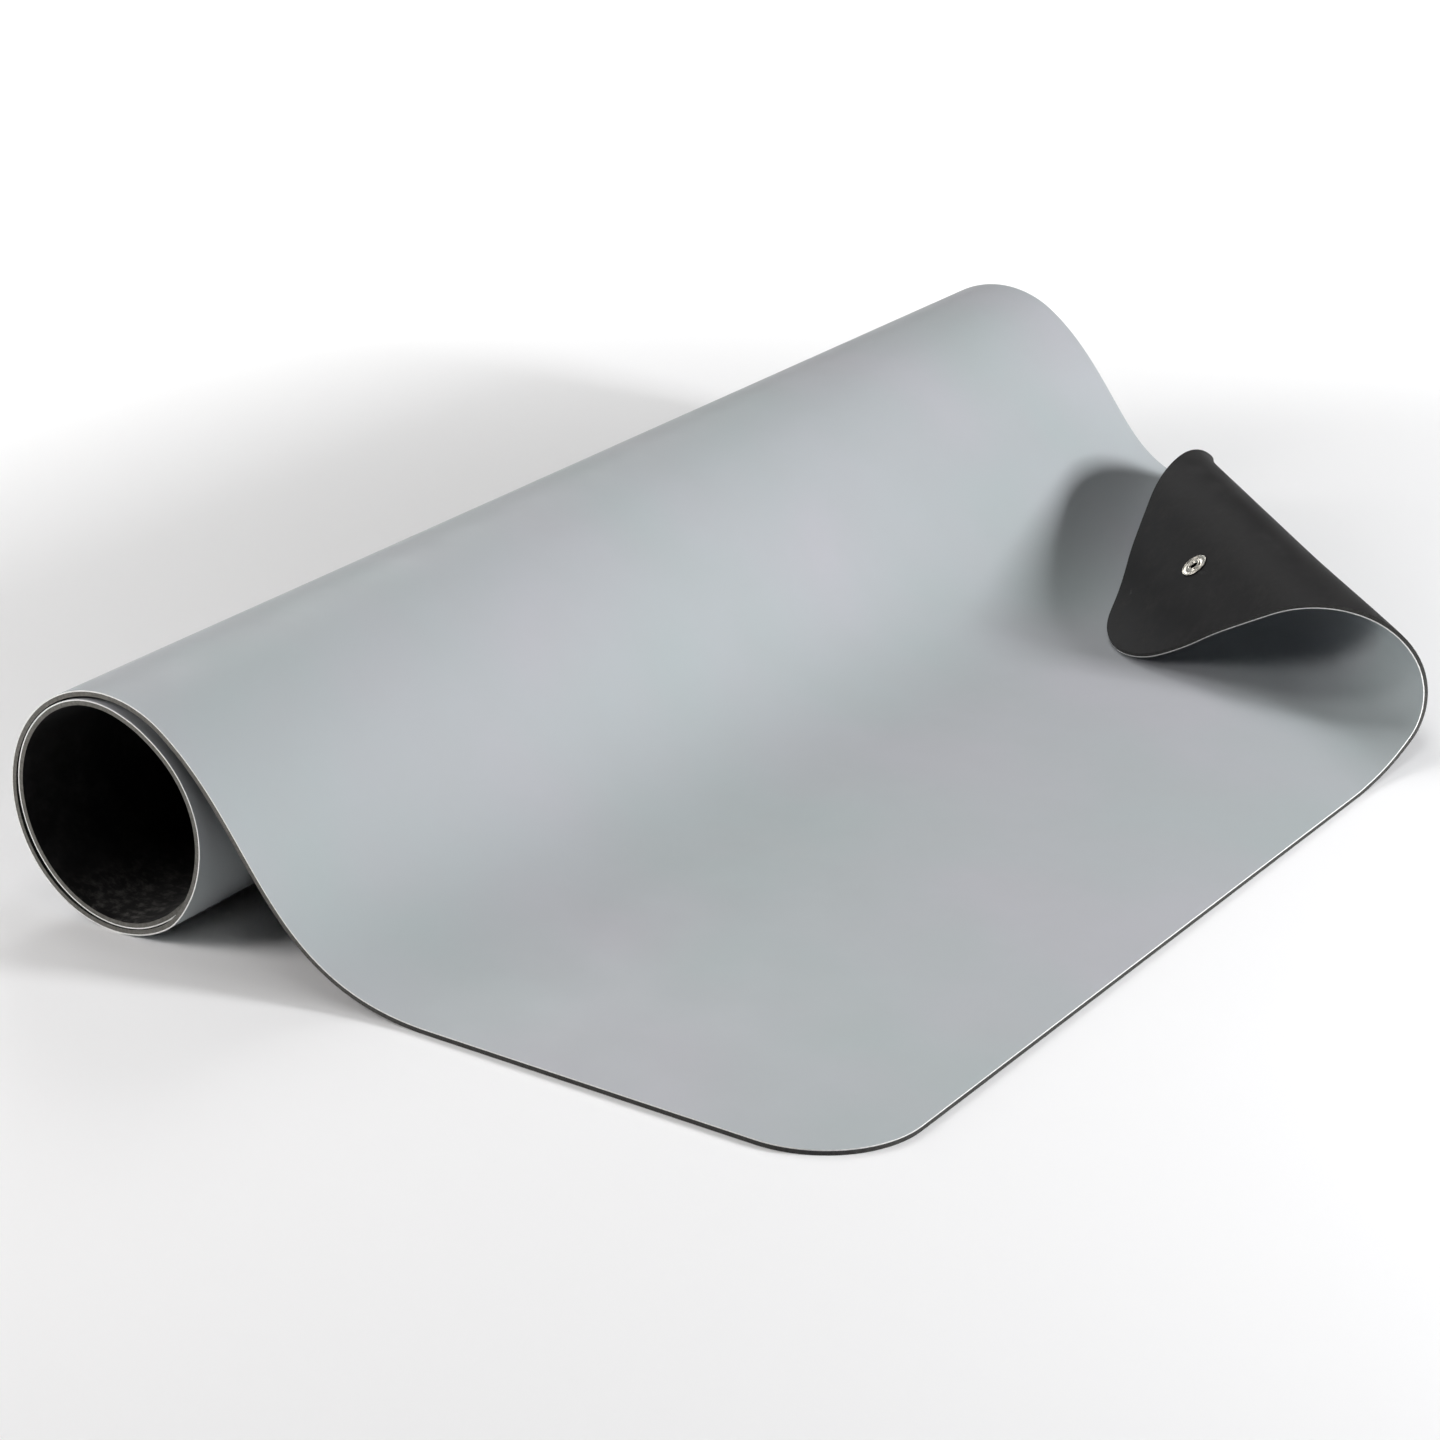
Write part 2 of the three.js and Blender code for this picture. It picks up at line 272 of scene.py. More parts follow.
def side_view_curve(name, points):
    """A line of (across, height) points as a curve in the XZ plane."""
    data = bpy.data.curves.new(name, "CURVE")
    data.dimensions = "3D"
    spline = data.splines.new("POLY")
    spline.points.add(len(points) - 1)
    for place, point in zip(spline.points, points):
        place.co = (point.x, 0.0, point.y, 1.0)
    curve = bpy.data.objects.new(name, data)
    bpy.context.scene.collection.objects.link(curve)
    return curve


# The flat sheet

def sheet_outline():
    """The cut's rounded rectangle, anticlockwise."""
    r = CORNER_RADIUS
    centres = [
        (FREE_EDGE - r, r, -90), (FREE_EDGE - r, MAT_WIDTH - r, 0),
        (INNER_END + r, MAT_WIDTH - r, 90), (INNER_END + r, r, 180),
    ]
    points = []
    for x, y, start in centres:
        for i in range(CORNER_STEPS + 1):
            angle = math.radians(start + 90 * i / CORNER_STEPS)
            points.append((x + r * math.cos(angle), y + r * math.sin(angle), 0.0))
    return points


def evenly(start, end, longest):
    """Places from start to end, without either, no further apart than the longest cell."""
    steps = math.ceil((end - start) / longest)
    return [start + (end - start) * i / steps for i in range(1, steps)]


def flat_sheet():
    """The sheet laid out flat, in cells small enough to bend smoothly."""
    length = Vector((1.0, 0.0, 0.0))
    width = ALONG_ROLL
    cuts = [(length, x) for x in evenly(INNER_END, LANDING, ROLL_CELL)]
    cuts += [(length, x) for x in evenly(LANDING, FREE_EDGE, FOLD_CROSS_CELL)]
    cuts += [(length, LANDING)]
    cuts += [(width, y) for y in evenly(0.0, MAT_WIDTH, WIDE_CELL)]
    cuts += [(width, y) for y in evenly(MAT_WIDTH - LIP_REACH, MAT_WIDTH, LIP_CELL)]
    before_lift = EDGE_LIFT_MIDDLE - EDGE_LIFT_SPREAD
    cuts += [(FOLD_ACROSS, FOLD_START + d) for d in evenly(before_lift, FOLD_DEPTH, FOLD_CELL)]
    mesh = bmesh.new()
    mesh.faces.new([mesh.verts.new(point) for point in sheet_outline()])
    for direction, distance in cuts:
        bmesh.ops.bisect_plane(
            mesh,
            geom=[*mesh.verts, *mesh.edges, *mesh.faces],
            dist=WELD_DISTANCE,
            plane_co=direction * distance,
            plane_no=direction,
        )
    data = bpy.data.meshes.new("flat sheet")
    mesh.to_mesh(data)
    mesh.free()
    return data


# Node trees

def add_node(tree, kind, inputs=None, **settings):
    """A node with its settings, and with values or links on its inputs."""
    node = tree.nodes.new(kind)
    for name, value in settings.items():
        setattr(node, name, value)
    for name, value in (inputs or {}).items():
        socket = node.inputs[name]
        if isinstance(value, bpy.types.NodeSocket):
            tree.links.new(value, socket)
        else:
            socket.default_value = value
    return node


def math_of(tree, operation, *values):
    """The result of a maths node."""
    node = add_node(tree, "ShaderNodeMath", dict(enumerate(values)), operation=operation)
    return node.outputs["Value"]


def vector_of(tree, operation, first, second=None, scale=None):
    """The result of a vector maths node, which is a number for a dot product."""
    inputs = {0: first}
    if second is not None:
        inputs[1] = second
    if scale is not None:
        inputs["Scale"] = scale
    node = add_node(tree, "ShaderNodeVectorMath", inputs, operation=operation)
    return node.outputs["Value" if operation == "DOT_PRODUCT" else "Vector"]


def tree_input(tree, name, kind, default=None):
    socket = tree.interface.new_socket(name, in_out="INPUT", socket_type=kind)
    if default is not None:
        socket.default_value = default


def bent_layer_tree():
    """Bends the flat sheet along the roll line and the fold line, and makes it one layer thick."""
    tree = bpy.data.node_groups.new("bent layer", "GeometryNodeTree")
    tree_input(tree, "Flat sheet", "NodeSocketGeometry")
    tree_input(tree, "Roll line", "NodeSocketObject")
    tree_input(tree, "Fold line", "NodeSocketObject")
    tree_input(tree, "Depth of upper face", "NodeSocketFloat")
    tree_input(tree, "Layer thickness", "NodeSocketFloat")
    tree_input(tree, "Sheet thickness", "NodeSocketFloat", THICKNESS)
    tree_input(tree, "Edge lift", "NodeSocketFloat", EDGE_LIFT)
    tree_input(tree, "Fold drift", "NodeSocketFloat", FOLD_DRIFT)
    tree_input(tree, "Lip flare", "NodeSocketFloat", LIP_FLARE)
    tree_input(tree, "Stud hole", "NodeSocketObject")
    tree_input(tree, "Rubber", "NodeSocketMaterial")
    tree.interface.new_socket("Layer", in_out="OUTPUT", socket_type="NodeSocketGeometry")
    given = tree.nodes.new("NodeGroupInput").outputs

    flat = add_node(tree, "GeometryNodeInputPosition").outputs["Position"]
    mapped = add_node(
        tree, "GeometryNodeStoreNamedAttribute",
        {"Geometry": given["Flat sheet"], "Name": "flat_sheet", "Value": flat},
        data_type="FLOAT2", domain="CORNER",
    ).outputs["Geometry"]
    place = bent_place(tree, flat, given)
    upper = add_node(
        tree, "GeometryNodeSetPosition", {"Geometry": mapped, "Position": place}
    ).outputs["Geometry"]

    # Both faces of the layer are set back from the upper face along its own normals
    normal = add_node(tree, "GeometryNodeInputNormal").outputs["Normal"]
    capture = add_node(tree, "GeometryNodeCaptureAttribute", {"Geometry": upper}, domain="POINT")
    capture.capture_items.new("VECTOR", "Outward")
    tree.links.new(normal, capture.inputs["Outward"])
    face_normal = capture.outputs["Outward"]
    sink = math_of(tree, "MULTIPLY", given["Depth of upper face"], -1.0)
    face = add_node(
        tree, "GeometryNodeSetPosition",
        {
            "Geometry": capture.outputs["Geometry"],
            "Offset": vector_of(tree, "SCALE", face_normal, scale=sink),
        },
    ).outputs["Geometry"]
    wall = add_node(
        tree, "GeometryNodeExtrudeMesh",
        {
            "Mesh": face,
            "Offset": face_normal,
            "Offset Scale": math_of(tree, "MULTIPLY", given["Layer thickness"], -1.0),
            "Individual": False,
        },
        mode="FACES",
    )
    edged = add_node(
        tree, "GeometryNodeStoreNamedAttribute",
        {"Geometry": wall.outputs["Mesh"], "Name": "cut_edge", "Value": wall.outputs["Side"]},
        data_type="FLOAT", domain="FACE",
    ).outputs["Geometry"]
    turned_over = add_node(tree, "GeometryNodeFlipFaces", {"Mesh": edged}).outputs["Mesh"]
    joined = add_node(tree, "GeometryNodeJoinGeometry")
    tree.links.new(turned_over, joined.inputs["Geometry"])
    tree.links.new(face, joined.inputs["Geometry"])
    closed = add_node(
        tree, "GeometryNodeMergeByDistance",
        {"Geometry": joined.outputs["Geometry"], "Distance": WELD_DISTANCE},
    ).outputs["Geometry"]

    smooth = add_node(
        tree, "GeometryNodeSetShadeSmooth", {"Geometry": closed, "Shade Smooth": True},
        domain="FACE",
    ).outputs["Geometry"]
    corner = add_node(tree, "GeometryNodeInputMeshEdgeAngle").outputs["Unsigned Angle"]
    sharp = add_node(
        tree, "GeometryNodeSetShadeSmooth",
        {
            "Geometry": smooth,
            "Selection": math_of(tree, "GREATER_THAN", corner, math.radians(SHARP_RUBBER)),
            "Shade Smooth": False,
        },
        domain="EDGE",
    ).outputs["Geometry"]
    moved = add_node(
        tree, "GeometryNodeTransform", {"Geometry": sharp, "Translation": SHEET_ORIGIN}
    ).outputs["Geometry"]
    drill = add_node(
        tree, "GeometryNodeObjectInfo", {"Object": given["Stud hole"]}
    ).outputs["Geometry"]
    holed = add_node(tree, "GeometryNodeMeshBoolean", operation="DIFFERENCE", solver="EXACT")
    tree.links.new(moved, holed.inputs["Mesh 1"])
    tree.links.new(drill, holed.inputs["Mesh 2"])
    real = add_node(
        tree, "GeometryNodeRealizeInstances", {"Geometry": holed.outputs["Mesh"]}
    ).outputs["Geometry"]
    rubber = add_node(
        tree, "GeometryNodeSetMaterial", {"Geometry": real, "Material": given["Rubber"]}
    ).outputs["Geometry"]
    result = tree.nodes.new("NodeGroupOutput")
    tree.links.new(rubber, result.inputs["Layer"])
    return tree


def bent_place(tree, flat, given):
    """The place of the upper face's point that lies at a place of the flat sheet."""
    flat_parts = add_node(tree, "ShaderNodeSeparateXYZ", {"Vector": flat}).outputs
    from_inner_end = math_of(tree, "SUBTRACT", flat_parts["X"], INNER_END)
    side_view = on_line(tree, given["Roll line"], from_inner_end)
    out_of_face = vector_of(tree, "CROSS_PRODUCT", side_view.outputs["Tangent"], ALONG_ROLL)
    half = math_of(tree, "MULTIPLY", given["Sheet thickness"], 0.5)

    across = vector_of(tree, "DOT_PRODUCT", flat, FOLD_ACROSS)
    beyond = math_of(tree, "SUBTRACT", across, FOLD_START)
    folded = math_of(tree, "MAXIMUM", beyond, 0.0)
    fold_view = on_line(tree, given["Fold line"], folded).outputs["Value"]
    fold_parts = add_node(tree, "ShaderNodeSeparateXYZ", {"Vector": fold_view}).outputs
    drawn_back = math_of(tree, "SUBTRACT", fold_parts["X"], folded)
    past_start = math_of(tree, "SUBTRACT", beyond, FOLD_DRIFT_START)
    past_drift = math_of(tree, "MAXIMUM", past_start, 0.0)
    drift = math_of(
        tree, "MULTIPLY", math_of(tree, "POWER", past_drift, 2.0),
        math_of(tree, "MULTIPLY", given["Fold drift"], -1.0),
    )
    height = math_of(
        tree, "ADD", fold_parts["Z"], edge_lift(tree, flat_parts["X"], beyond, given["Edge lift"])
    )
    flare = lip_flare(tree, flat_parts["Y"], beyond, given["Lip flare"])
    place = side_view.outputs["Value"]
    for direction, amount in (
        (out_of_face, half),
        (ALONG_ROLL, flat_parts["Y"]),
        (FOLD_ACROSS, drawn_back),
        (FOLD_ALONG, drift),
        (UP, height),
        (outward(math.radians(LIP_HEADING)), flare),
    ):
        place = vector_of(tree, "ADD", place, vector_of(tree, "SCALE", direction, scale=amount))
    return place


def lip_flare(tree, flat_y, beyond, most):
    """How far the far edge's lip curls out of the fold's back."""
    off_middle = math_of(
        tree, "DIVIDE",
        math_of(tree, "ABSOLUTE", math_of(tree, "SUBTRACT", beyond, LIP_MIDDLE)),
        LIP_SPREAD,
    )
    bump = math_of(
        tree, "POWER",
        math_of(tree, "SUBTRACT", 1.0, math_of(tree, "MINIMUM", off_middle, 1.0)),
        2.0,
    )
    nearness = add_node(
        tree, "ShaderNodeMapRange",
        {"Value": flat_y, "From Min": MAT_WIDTH - LIP_REACH, "From Max": MAT_WIDTH},
    ).outputs["Result"]
    curl = math_of(tree, "MULTIPLY", bump, math_of(tree, "POWER", nearness, 2.0))
    return math_of(tree, "MULTIPLY", curl, most)


def edge_lift(tree, flat_x, beyond, most):
    """How high the fold draws the sheet up near the free edge."""
    off_middle = math_of(
        tree, "DIVIDE",
        math_of(tree, "ABSOLUTE", math_of(tree, "SUBTRACT", beyond, EDGE_LIFT_MIDDLE)),
        EDGE_LIFT_SPREAD,
    )
    inside = math_of(tree, "MINIMUM", off_middle, 1.0)
    bump = math_of(
        tree, "POWER", math_of(tree, "SUBTRACT", 1.0, math_of(tree, "POWER", inside, 2.0)), 2.0
    )
    nearness = add_node(
        tree, "ShaderNodeMapRange",
        {"Value": flat_x, "From Min": FREE_EDGE - EDGE_LIFT_REACH, "From Max": FREE_EDGE},
        interpolation_type="SMOOTHSTEP",
    ).outputs["Result"]
    return math_of(tree, "MULTIPLY", math_of(tree, "MULTIPLY", bump, nearness), most)


def on_line(tree, line, distance):
    """The place on a line, and the line's direction there, at a distance from its start."""
    curve = add_node(tree, "GeometryNodeObjectInfo", {"Object": line}).outputs["Geometry"]
    position = add_node(tree, "GeometryNodeInputPosition").outputs["Position"]
    return add_node(
        tree, "GeometryNodeSampleCurve",
        {"Curves": curve, "Value": position, "Length": distance},
        data_type="FLOAT_VECTOR", mode="LENGTH",
    )


def plain_mesh(source, name):
    """The evaluated object as a plain mesh object of its own, with nothing left live."""
    evaluated = source.evaluated_get(bpy.context.evaluated_depsgraph_get())
    data = bpy.data.meshes.new_from_object(evaluated)
    data.name = name
    piece = bpy.data.objects.new(name, data)
    bpy.context.scene.collection.objects.link(piece)
    return piece


def rubber_layer(name, tree, sheet, guides, depth, thickness, rubber):
    """One layer of the mat, made by the bent layer tree."""
    source = bpy.data.objects.new(name + "_flat", sheet)
    bpy.context.scene.collection.objects.link(source)
    bending = source.modifiers.new("bend", "NODES")
    bending.node_group = tree
    given = {
        "Roll line": guides["roll line"],
        "Fold line": guides["fold line"],
        "Stud hole": guides["stud hole"],
        "Depth of upper face": depth,
        "Layer thickness": thickness,
        "Rubber": rubber,
    }
    for item in tree.interface.items_tree:
        if item.in_out == "INPUT" and item.name in given:
            bending[item.identifier] = given[item.name]
    piece = plain_mesh(source, name)
    bpy.data.objects.remove(source)
    piece.data.materials.clear()
    piece.data.materials.append(rubber)
    piece.data.polygons.foreach_set("material_index", [0] * len(piece.data.polygons))
    return piece


# The press stud

def stud_seat():
    """Carries a body from its own axis to the stud's place, its +Z out of the base layer."""
    across, height, heading = fold_at(STUD_DISTANCE)
    place = (
        STUD_FLAT
        + SHEET_ORIGIN
        + FOLD_ACROSS * (across - STUD_DISTANCE)
        - FOLD_ALONG * FOLD_DRIFT * (STUD_DISTANCE - FOLD_DRIFT_START) ** 2
        + UP * (height + THICKNESS)
    )
    turn = UP.rotation_difference(outward(heading))
    return Matrix.Translation(place) @ turn.to_matrix().to_4x4()


def rounded(centre, radius, start, end, steps=ROUNDING_STEPS):
    """Outline points on an arc, from one angle in degrees to another."""
    angles = [math.radians(start + (end - start) * i / steps) for i in range(steps + 1)]
    return [(centre[0] + radius * math.cos(a), centre[1] + radius * math.sin(a)) for a in angles]


def turned_piece(name, outline, material, sides=TURNED_SIDES):
    """A closed body turned from (radius, height) points, seated at the stud's place.

    The attribute "barrel" marks the points inside the barrel's mouth, for the painted shade there.
    """
    mesh = bmesh.new()
    barrel = mesh.verts.layers.float.new("barrel")
    rings = []
    for i in range(sides):
        turn = 2 * math.pi * i / sides
        rings.append([
            mesh.verts.new((radius * math.cos(turn), radius * math.sin(turn), height))
            for radius, height in outline
        ])
        for vertex, (radius, _) in zip(rings[-1], outline):
            vertex[barrel] = 1.0 if radius < BARREL_MOUTH else 0.0
    sides_of_outline = list(zip(range(len(outline)), [*range(1, len(outline)), 0]))
    for ring, following in zip(rings, rings[1:] + rings[:1]):
        for i, j in sides_of_outline:
            on_axis = outline[i][0] == 0 and outline[j][0] == 0
            if not on_axis:
                mesh.faces.new((ring[i], following[i], following[j], ring[j]))
    bmesh.ops.remove_doubles(mesh, verts=mesh.verts, dist=WELD_DISTANCE)
    loose = [vertex for vertex in mesh.verts if not vertex.link_faces]
    bmesh.ops.delete(mesh, geom=loose, context="VERTS")
    bmesh.ops.recalc_face_normals(mesh, faces=mesh.faces)
    mesh.transform(stud_seat())
    data = bpy.data.meshes.new(name)
    mesh.to_mesh(data)
    mesh.free()
    data.shade_smooth()
    data.set_sharp_from_angle(angle=math.radians(SHARP_METAL))
    if material:
        data.materials.append(material)
    piece = bpy.data.objects.new(name, data)
    bpy.context.scene.collection.objects.link(piece)
    return piece


def eyelet_outline():
    """The stud's back, from the barrel's end out round the rim and back in through the mouth."""
    seat = THICKNESS + STUD_CLEARANCE
    rim = seat + RIM_CURL
    ring = seat + RING_LIFT
    return [
        (BARREL_RADIUS, BARREL_END),
        (BARREL_RADIUS, seat),
        (RIM_PLACE, seat),
        *rounded((RIM_PLACE, rim), RIM_CURL, -90, 120, CURL_STEPS),
        (0.00500, rim),
        (0.00485, ring),
        (0.00330, ring),
        (0.00305, rim),
        *rounded((MOUTH_PLACE, seat + MOUTH_LIFT), MOUTH_CURL, 20, 160, CURL_STEPS),
        (0.0016, seat + 0.0003),
        (0.0015, seat + 0.0001),
        (BARREL_BORE, seat - 0.0002),
        (BARREL_BORE, BARREL_END),
    ]


def stud_outline():
    """The male half on the grey face: a rimmed flange and a hollow boss with a neck."""
    seat = -STUD_CLEARANCE
    flange = seat - FLANGE_THICKNESS
    end = flange - BOSS_HEIGHT
    return [
        (0.0, end + 0.00045),
        (0.0029, end + 0.00045),
        (0.0038, end + 0.0012),
        (0.0042, end + 0.0016),
        (HOLLOW_RADIUS, end + 0.0023),
        (HOLLOW_RADIUS, flange),
        (FLANGE_BORE, seat - 0.0004),
        (FLANGE_BORE, seat),
        (FLANGE_RADIUS, seat),
        *rounded((FLANGE_RADIUS, seat - FLANGE_EDGE), FLANGE_EDGE, 90, -90),
        (0.0046, flange),
        (NECK_RADIUS, flange - 0.00025),
        (NECK_RADIUS, end + 0.0022),
        (BOSS_RADIUS, end + 0.0015),
        (BOSS_RADIUS, end + 0.0011),
        *rounded((BOSS_RADIUS - BOSS_ROUNDING, end + BOSS_ROUNDING), BOSS_ROUNDING, 0, -90),
        (0.0012, end),
        (0.0008, end + 0.00018),
        (0.0, end + 0.0002),
    ]


def stud_drill():
    """The punched hole's volume, wider than the eyelet's barrel."""
    outline = [
        (0.0, -STUD_HOLE_REACH), (STUD_HOLE_RADIUS, -STUD_HOLE_REACH),
        (STUD_HOLE_RADIUS, STUD_HOLE_REACH), (0.0, STUD_HOLE_REACH),
    ]
    return turned_piece("stud hole", outline, None, HOLE_SIDES)


# Materials: each finish's colours, in linear light

COOL_GREY = (0.412, 0.457, 0.463, 1)
BLUISH_GREY = (0.452, 0.457, 0.484, 1)
CLOUDED_GREY = (0.418, 0.434, 0.444, 1)
CUT_GREY = (0.68, 0.68, 0.66, 1)
CUT_GREY_PALE = (0.82, 0.82, 0.80, 1)
CLEAN_BLACK = (0.0090, 0.0084, 0.0087, 1)
HAZY_BLACK = (0.0255, 0.0246, 0.0242, 1)
# One cut face of black rubber in two colours: painted shade at the flat edges and painted light
# where the sheet is rolled
SHADED_FLAT_CUT = (0.044, 0.043, 0.041, 1)
SHADED_FLAT_CUT_SCRAPED = (0.068, 0.067, 0.064, 1)
LIT_ROLLED_CUT = (0.095, 0.092, 0.083, 1)
LIT_ROLLED_CUT_SCRAPED = (0.165, 0.160, 0.146, 1)
# Pale specks of dust, which also paint the lamplight falling into the roll's mouth
DUST_AND_PAINTED_LIGHT = (0.105, 0.102, 0.095, 1)
HANDLED_NICKEL = (0.52, 0.49, 0.43, 1)
CLEAN_NICKEL = (0.62, 0.59, 0.53, 1)
# Painted shade for the inside of the barrel's mouth
BARREL_PAINTED_SHADE = (0.03, 0.028, 0.025, 1)
FLOOR_PALE = (0.91, 0.91, 0.91, 1)
FLOOR_PALER = (0.93, 0.93, 0.93, 1)

# Dust and painted light lie in the roll's bore, near its ends and low down: the pale specks also
# paint the lamplight that falls into the roll's mouth
DUST_AND_LIGHT_REACH = 0.060
DUST_AND_LIGHT_HEIGHT = 0.014

# Sockets of the colour mix node that share their names with other types
MIX_FIRST, MIX_SECOND, MIX_RESULT = 6, 7, 2


def new_material(name):
    material = bpy.data.materials.new(name)
    material.use_nodes = True
    tree = material.node_tree
    return material, tree, tree.nodes["Principled BSDF"]


def noise(tree, coordinates, scale, detail=4.0, roughness=0.5):
    return add_node(
        tree, "ShaderNodeTexNoise",
        {"Vector": coordinates, "Scale": scale, "Detail": detail, "Roughness": roughness},
    ).outputs["Fac"]


def spread(tree, value, low=0.0, high=1.0, from_low=0.3, from_high=0.7):
    """A value stretched from one range, which is a noise's middle unless given, to another."""
    return add_node(
        tree, "ShaderNodeMapRange",
        {
            "Value": value, "From Min": from_low, "From Max": from_high,
            "To Min": low, "To Max": high,
        },
    ).outputs["Result"]


def mixed(tree, share, first, second):
    """A colour between two, by a share."""
    node = add_node(tree, "ShaderNodeMix", data_type="RGBA")
    sockets = (node.inputs["Factor"], node.inputs[MIX_FIRST], node.inputs[MIX_SECOND])
    for socket, value in zip(sockets, (share, first, second)):
        if isinstance(value, bpy.types.NodeSocket):
            tree.links.new(value, socket)
        else:
            socket.default_value = value
    return node.outputs[MIX_RESULT]


def bumped(tree, height, distance, strength):
    return add_node(
        tree, "ShaderNodeBump", {"Height": height, "Distance": distance, "Strength": strength}
    ).outputs["Normal"]


def object_place(tree):
    return add_node(tree, "ShaderNodeTexCoord").outputs["Object"]


def marked(tree, attribute):
    """A mark that the mesh carries: 1 on the marked faces or points, 0 elsewhere."""
    return add_node(tree, "ShaderNodeAttribute", attribute_name=attribute).outputs["Fac"]


def sheet_place(tree):
    """The UV map that holds each point's place on the flat sheet, and its two parts."""
    flat = add_node(tree, "ShaderNodeUVMap", uv_map="flat_sheet").outputs["UV"]
    parts = add_node(tree, "ShaderNodeSeparateXYZ", {"Vector": flat}).outputs
    return flat, parts["X"], parts["Y"]


def grey_rubber():
    """Smooth matte grey, a little bluer in wide patches, and pale where it was cut."""
    material, tree, shader = new_material("grey rubber")
    flat, _, _ = sheet_place(tree)
    place = object_place(tree)
    patches = spread(tree, noise(tree, flat, 8.0, detail=2.0), from_low=0.36, from_high=0.64)
    clouds = math_of(tree, "MULTIPLY", spread(tree, noise(tree, flat, 30.0)), 0.35)
    face = mixed(tree, patches, COOL_GREY, BLUISH_GREY)
    face = mixed(tree, clouds, face, CLOUDED_GREY)
    scraped = spread(tree, noise(tree, place, 900.0, detail=2.0))
    cut_face = mixed(tree, scraped, CUT_GREY, CUT_GREY_PALE)
    colour = mixed(tree, marked(tree, "cut_edge"), face, cut_face)
    tree.links.new(colour, shader.inputs["Base Color"])
    gloss = spread(tree, noise(tree, flat, 46.0, detail=5.0, roughness=0.6), 0.52, 0.64)
    tree.links.new(gloss, shader.inputs["Roughness"])
    grain = noise(tree, place, 2400.0, detail=3.0)
    tree.links.new(bumped(tree, grain, 0.00005, 0.35), shader.inputs["Normal"])
    shader.inputs["Specular IOR Level"].default_value = 0.30
    return material


def dust_and_light_share(tree, flat, flat_x, flat_y, place):
    """How much dust and painted light lies at a place: pale specks low in the roll, fewer away from
    its ends, partly dust and partly painted lamplight falling into the roll's mouth.
    """
    from_end = math_of(tree, "MINIMUM", flat_y, math_of(tree, "SUBTRACT", MAT_WIDTH, flat_y))
    near_end = spread(tree, from_end, 1.0, 0.0, from_low=0.0, from_high=DUST_AND_LIGHT_REACH)
    height = add_node(tree, "ShaderNodeSeparateXYZ", {"Vector": place}).outputs["Z"]
    lying_low = spread(tree, height, 1.0, 0.0, from_low=2 * THICKNESS, from_high=DUST_AND_LIGHT_HEIGHT)
    in_roll = spread(tree, flat_x, 1.0, 0.0, from_low=0.0, from_high=LANDING)
    specks = spread(
        tree, noise(tree, flat, 260.0, detail=6.0, roughness=0.7), from_low=0.47, from_high=0.68
    )
    dust_and_light = near_end
    for share in (in_roll, lying_low, specks):
        dust_and_light = math_of(tree, "MULTIPLY", dust_and_light, share)
    return dust_and_light


def black_rubber():
    """Satin black with a soft haze, dust and painted light low in the roll, and a grey face where
    it was cut, painted lighter in the roll and darker at the flat edges.
    """
    material, tree, shader = new_material("black rubber")
    flat, flat_x, flat_y = sheet_place(tree)
    place = object_place(tree)
    smudges = spread(
        tree, noise(tree, flat, 60.0, detail=8.0, roughness=0.66), from_low=0.45, from_high=0.66
    )
    streaks = spread(tree, noise(tree, flat, 420.0, roughness=0.65), 0.35, 1.0, 0.35, 0.65)
    haze = math_of(tree, "MULTIPLY", smudges, streaks)
    face = mixed(tree, haze, CLEAN_BLACK, HAZY_BLACK)
    # Dust and painted light: pale specks low in the roll's mouth, where lamplight falls in
    face = mixed(tree, dust_and_light_share(tree, flat, flat_x, flat_y, place), face, DUST_AND_PAINTED_LIGHT)

    cut = marked(tree, "cut_edge")
    scraped = spread(tree, noise(tree, place, 800.0, detail=5.0, roughness=0.6))
    lit_rolled_cut = mixed(tree, scraped, LIT_ROLLED_CUT, LIT_ROLLED_CUT_SCRAPED)
    shaded_flat_cut = mixed(tree, scraped, SHADED_FLAT_CUT, SHADED_FLAT_CUT_SCRAPED)
    # Painted light and shade: the same cut face is painted lighter in the roll and darker at the
    # flat edges
    out_of_roll = spread(tree, flat_x, from_low=0.0, from_high=LANDING)
    cut_face = mixed(tree, out_of_roll, lit_rolled_cut, shaded_flat_cut)
    tree.links.new(mixed(tree, cut, face, cut_face), shader.inputs["Base Color"])
    face_gloss = spread(tree, haze, 0.60, 0.72, from_low=0.0, from_high=1.0)
    gloss = spread(tree, cut, face_gloss, 0.85, from_low=0.0, from_high=1.0)
    tree.links.new(gloss, shader.inputs["Roughness"])
    grain = noise(tree, place, 1800.0, roughness=0.6)
    tree.links.new(bumped(tree, grain, 0.00006, 0.45), shader.inputs["Normal"])
    shader.inputs["Specular IOR Level"].default_value = 0.11
    shader.inputs["Sheen Weight"].default_value = 0.05
    shader.inputs["Sheen Roughness"].default_value = 0.35
    return material


def nickel():
    """Pale nickel plate, satin, faintly clouded by handling, with painted shade darkening the
    inside of the barrel.
    """
    material, tree, shader = new_material("nickel plate")
    place = object_place(tree)
    wear = spread(tree, noise(tree, place, 300.0, detail=3.0))
    plate = mixed(tree, wear, HANDLED_NICKEL, CLEAN_NICKEL)
    # Painted shade: the inside of the barrel's mouth is painted dark
    colour = mixed(tree, marked(tree, "barrel"), plate, BARREL_PAINTED_SHADE)
    tree.links.new(colour, shader.inputs["Base Color"])
    gloss = spread(tree, wear, 0.26, 0.34, from_low=0.0, from_high=1.0)
    tree.links.new(gloss, shader.inputs["Roughness"])
    ripple = noise(tree, place, 900.0, detail=2.0)
    tree.links.new(bumped(tree, ripple, 0.00001, 0.2), shader.inputs["Normal"])
    shader.inputs["Metallic"].default_value = 1.0
    return material


